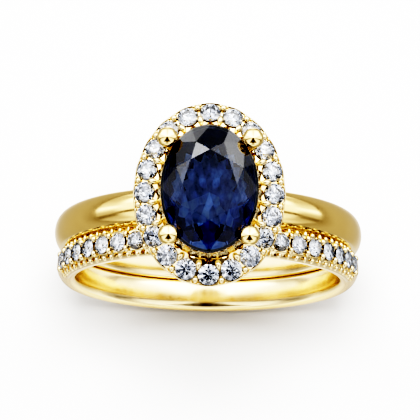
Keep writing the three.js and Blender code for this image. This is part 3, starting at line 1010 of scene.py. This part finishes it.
def band_dome():
    """Polished dome over the plain rest of the hoop."""
    half = [
        (BAND_CORE, 0.5),
        (BAND_CORE, 0.96),
        (9.02, 0.995),
        (9.14, 0.99),
        (9.34, 0.9),
        (9.55, 0.68),
        (9.71, 0.36),
    ]
    outline = spline(mirrored(BAND_CORE, half, BAND_DOME, BAND_Y), 4, closed=True)
    return hoop_sector("dome", outline, DOME_STEPS, BAND_REACH, 2 * (math.pi - BAND_REACH))


def band_cuts():
    """A seat under each stone, and a pair of small openings beside each knob on both flanks."""
    seat = seat_outline(BAND_STONE_RADIUS, 0.58)
    opening = [(0, -0.3), (0.12, -0.3), (0.13, 0.3), (0, 0.3)]
    tools = []
    for index in range(BAND_STONES):
        tools.append(lathe_parts(seat, SEAT_SIDES, band_place(band_angle(index), 0, BAND_GIRDLE)))
        for flank in (-1, 1):
            for turn in (-1, 1):
                angle = band_angle(index) + turn * 0.26 * BAND_PITCH
                tools.append(lathe_parts(opening, 14, flank_place(angle, flank, 0.74)))
    return tools


def band_beads():
    """Beads at the stones' edges, short posts below them, and a knob under each stone, on both flanks."""
    beads = []
    for flank in (-1, 1):
        for index in range(BAND_STONES + 1):
            angle = band_angle(index) - BAND_PITCH / 2
            edge = band_place(angle, flank * 0.46, BAND_SETTING + 0.06)
            beads.append(ball_parts(edge, EDGE_BEAD))
            beads.append(ball_parts(flank_place(angle, flank, 0.78), POST_BEAD))
        for index in range(BAND_STONES):
            beads.append(ball_parts(band_place(band_angle(index), flank * 0.8, 9.3), KNOB_BEAD))
    return beads


# ---------------------------------------------------------------- stage


def add_camera():
    """Nearly overhead, a little to the front, through a long lens."""
    flat = math.cos(CAMERA_ELEVATION)
    back = Vector((
        math.sin(CAMERA_AZIMUTH) * flat,
        -math.cos(CAMERA_AZIMUTH) * flat,
        math.sin(CAMERA_ELEVATION),
    ))
    level_right = (-back).cross(Vector((0, 0, 1))).normalized()
    level_up = level_right.cross(-back)
    rolled_right = level_right * math.cos(CAMERA_ROLL) + level_up * math.sin(CAMERA_ROLL)
    rolled_up = level_up * math.cos(CAMERA_ROLL) - level_right * math.sin(CAMERA_ROLL)
    forward = (-back + rolled_right * CAMERA_AIM_RIGHT + rolled_up * CAMERA_AIM_UP).normalized()
    right = (rolled_right - forward * rolled_right.dot(forward)).normalized()
    up = right.cross(forward)
    data = bpy.data.cameras.new("camera")
    data.sensor_width = CAMERA_SENSOR
    data.lens = CAMERA_LENS
    data.clip_start = 0.01
    data.clip_end = 5.0
    camera = bpy.data.objects.new("camera", data)
    place = Matrix((right, up, -forward)).transposed().to_4x4()
    place.translation = back * CAMERA_DISTANCE * MM
    camera.matrix_world = place
    bpy.context.scene.collection.objects.link(camera)
    bpy.context.scene.camera = camera


def add_floor():
    """Plain white sweep that the hoops stand on.

    The metal mirrors it darker out to both sides, as if masks stood there.
    """
    size = FLOOR_HALF_SIZE
    z = -(SHANK_CREST + 0.01) * MM
    corners = [(-size, -size, z), (size, -size, z), (size, size, z), (-size, size, z)]
    mesh = bpy.data.meshes.new("floor")
    mesh.from_pydata(corners, [], [(0, 1, 2, 3)])
    floor = bpy.data.objects.new("floor", mesh)
    bpy.context.scene.collection.objects.link(floor)
    material, tree, shader = node_material("white_sweep")
    shader.inputs["Roughness"].default_value = 0.9
    shader.inputs["Specular IOR Level"].default_value = 0.1
    x = split_axes(tree, "Object")[0]
    side = scaled(tree, math_node(tree, "ABSOLUTE", x), 1 / FLOOR_MIRRORED_REACH)
    mirrored_tone = ramp(tree, side, grey_stops(FLOOR_MIRRORED), "EASE")
    seen_tone = (FLOOR_SEEN, FLOOR_SEEN, FLOOR_SEEN, 1)
    path = tree.nodes.new("ShaderNodeLightPath")
    tone = mix_colours(tree, path.outputs["Is Camera Ray"], mirrored_tone, seen_tone)
    tree.links.new(tone, shader.inputs["Base Color"])
    paint(floor, material)


def add_key_light():
    """Soft box overhead, which casts the soft shadow under the hoops but isn't mirrored in them."""
    data = bpy.data.lights.new("soft_box", "AREA")
    data.shape = "SQUARE"
    data.size = KEY_LIGHT_SIZE
    data.energy = KEY_LIGHT_ENERGY
    light = bpy.data.objects.new("soft_box", data)
    light.location = KEY_LIGHT_PLACE
    light.visible_glossy = False
    light.visible_transmission = False
    bpy.context.scene.collection.objects.link(light)


def add_studio():
    """Tall soft boxes and dark seams round the set, a canopy above them and a dark slot overhead."""
    world = bpy.data.worlds.new("studio")
    world.use_nodes = True
    bpy.context.scene.world = world
    tree = world.node_tree
    x, y, z = split_axes(tree, "Generated")
    side = math_node(tree, "ABSOLUTE", x)
    turn = scaled(tree, math_node(tree, "ARCTAN2", side, y), 1 / math.pi)
    low = ramp(tree, turn, grey_stops(WALLS, 180))
    high = ramp(tree, turn, grey_stops(CANOPY, 180))
    colour = mix_colours(tree, smooth_step(tree, z, *CANOPY_FOOT), low, high)
    sky = tree.nodes["Background"]
    tree.links.new(colour, sky.inputs["Color"])
    dimmed = scaled(tree, overhead_slot(tree, side, y, z), -(1 - SLOT_LEVEL), 1.0)
    tree.links.new(dimmed, sky.inputs["Strength"])


def overhead_slot(tree, side, y, z):
    """One inside a wedge of the sky that widens to the front, and zero outside it."""
    half_width = math_node(tree, "MAXIMUM", scaled(tree, y, -0.7, -0.07), 0.0)
    beyond = math_node(tree, "SUBTRACT", side, half_width)
    slot = smooth_step(tree, beyond, 0.2, 0.08)
    rear_end = (y, 0.12, 0.0)
    front_end = (y, -0.78, -0.62)
    lowest = (z, 0.3, 0.5)
    for value, start, end in (rear_end, front_end, lowest):
        slot = math_node(tree, "MULTIPLY", slot, smooth_step(tree, value, start, end))
    return slot


def set_colour_management():
    """Plain display with the contrast curve, and enough bounces for the stones."""
    scene = bpy.context.scene
    scene.cycles.max_bounces = 20
    scene.cycles.transmission_bounces = 20
    view = scene.view_settings
    view.view_transform = "Standard"
    view.use_curve_mapping = True
    curve = view.curve_mapping.curves[3]
    curve.points[0].location = (0.0, 0.0)
    curve.points[1].location = (1.0, TONE_TOP)
    for point in TONE:
        curve.points.new(*point)
    view.curve_mapping.update()


# ---------------------------------------------------------------- assembly


def build():
    set_colour_management()
    add_camera()
    add_floor()
    add_key_light()
    add_studio()

    satin = polished_gold("satin_yellow_gold", (0.91, 0.69, 0.38), 0.11, 0.18)
    gold = polished_gold("polished_yellow_gold", (0.88, 0.69, 0.405), 0.05, 0.10)
    setting_gold = polished_gold("setting_yellow_gold", (0.91, 0.755, 0.51), 0.06, 0.11)
    # Rougher, paler gold in the finger hole, on the collar and on the faces between the hoops: the roughness
    # is real, the paler tint is painted light that lifts the shade there.
    painted_light_gold = polished_gold("painted_light_yellow_gold", (0.90, 0.75, 0.50), 0.16, 0.24)

    engagement_shank(satin, painted_light_gold)
    halo_frame(setting_gold)
    claws(gold)
    gallery_rail(gold)
    # The collar gets the paler gold too, painted light under the stone.
    bearing_collar(painted_light_gold)
    halo_struts(gold)
    wedding_band(satin, setting_gold, painted_light_gold)
    paint(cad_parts["head_saddle"], gold)

    melee = melee_mesh()
    diamond = diamond_materials()
    halo_diamonds(melee, diamond)
    band_diamonds(melee, diamond)
    centre_sapphire(sapphire_materials())


build()
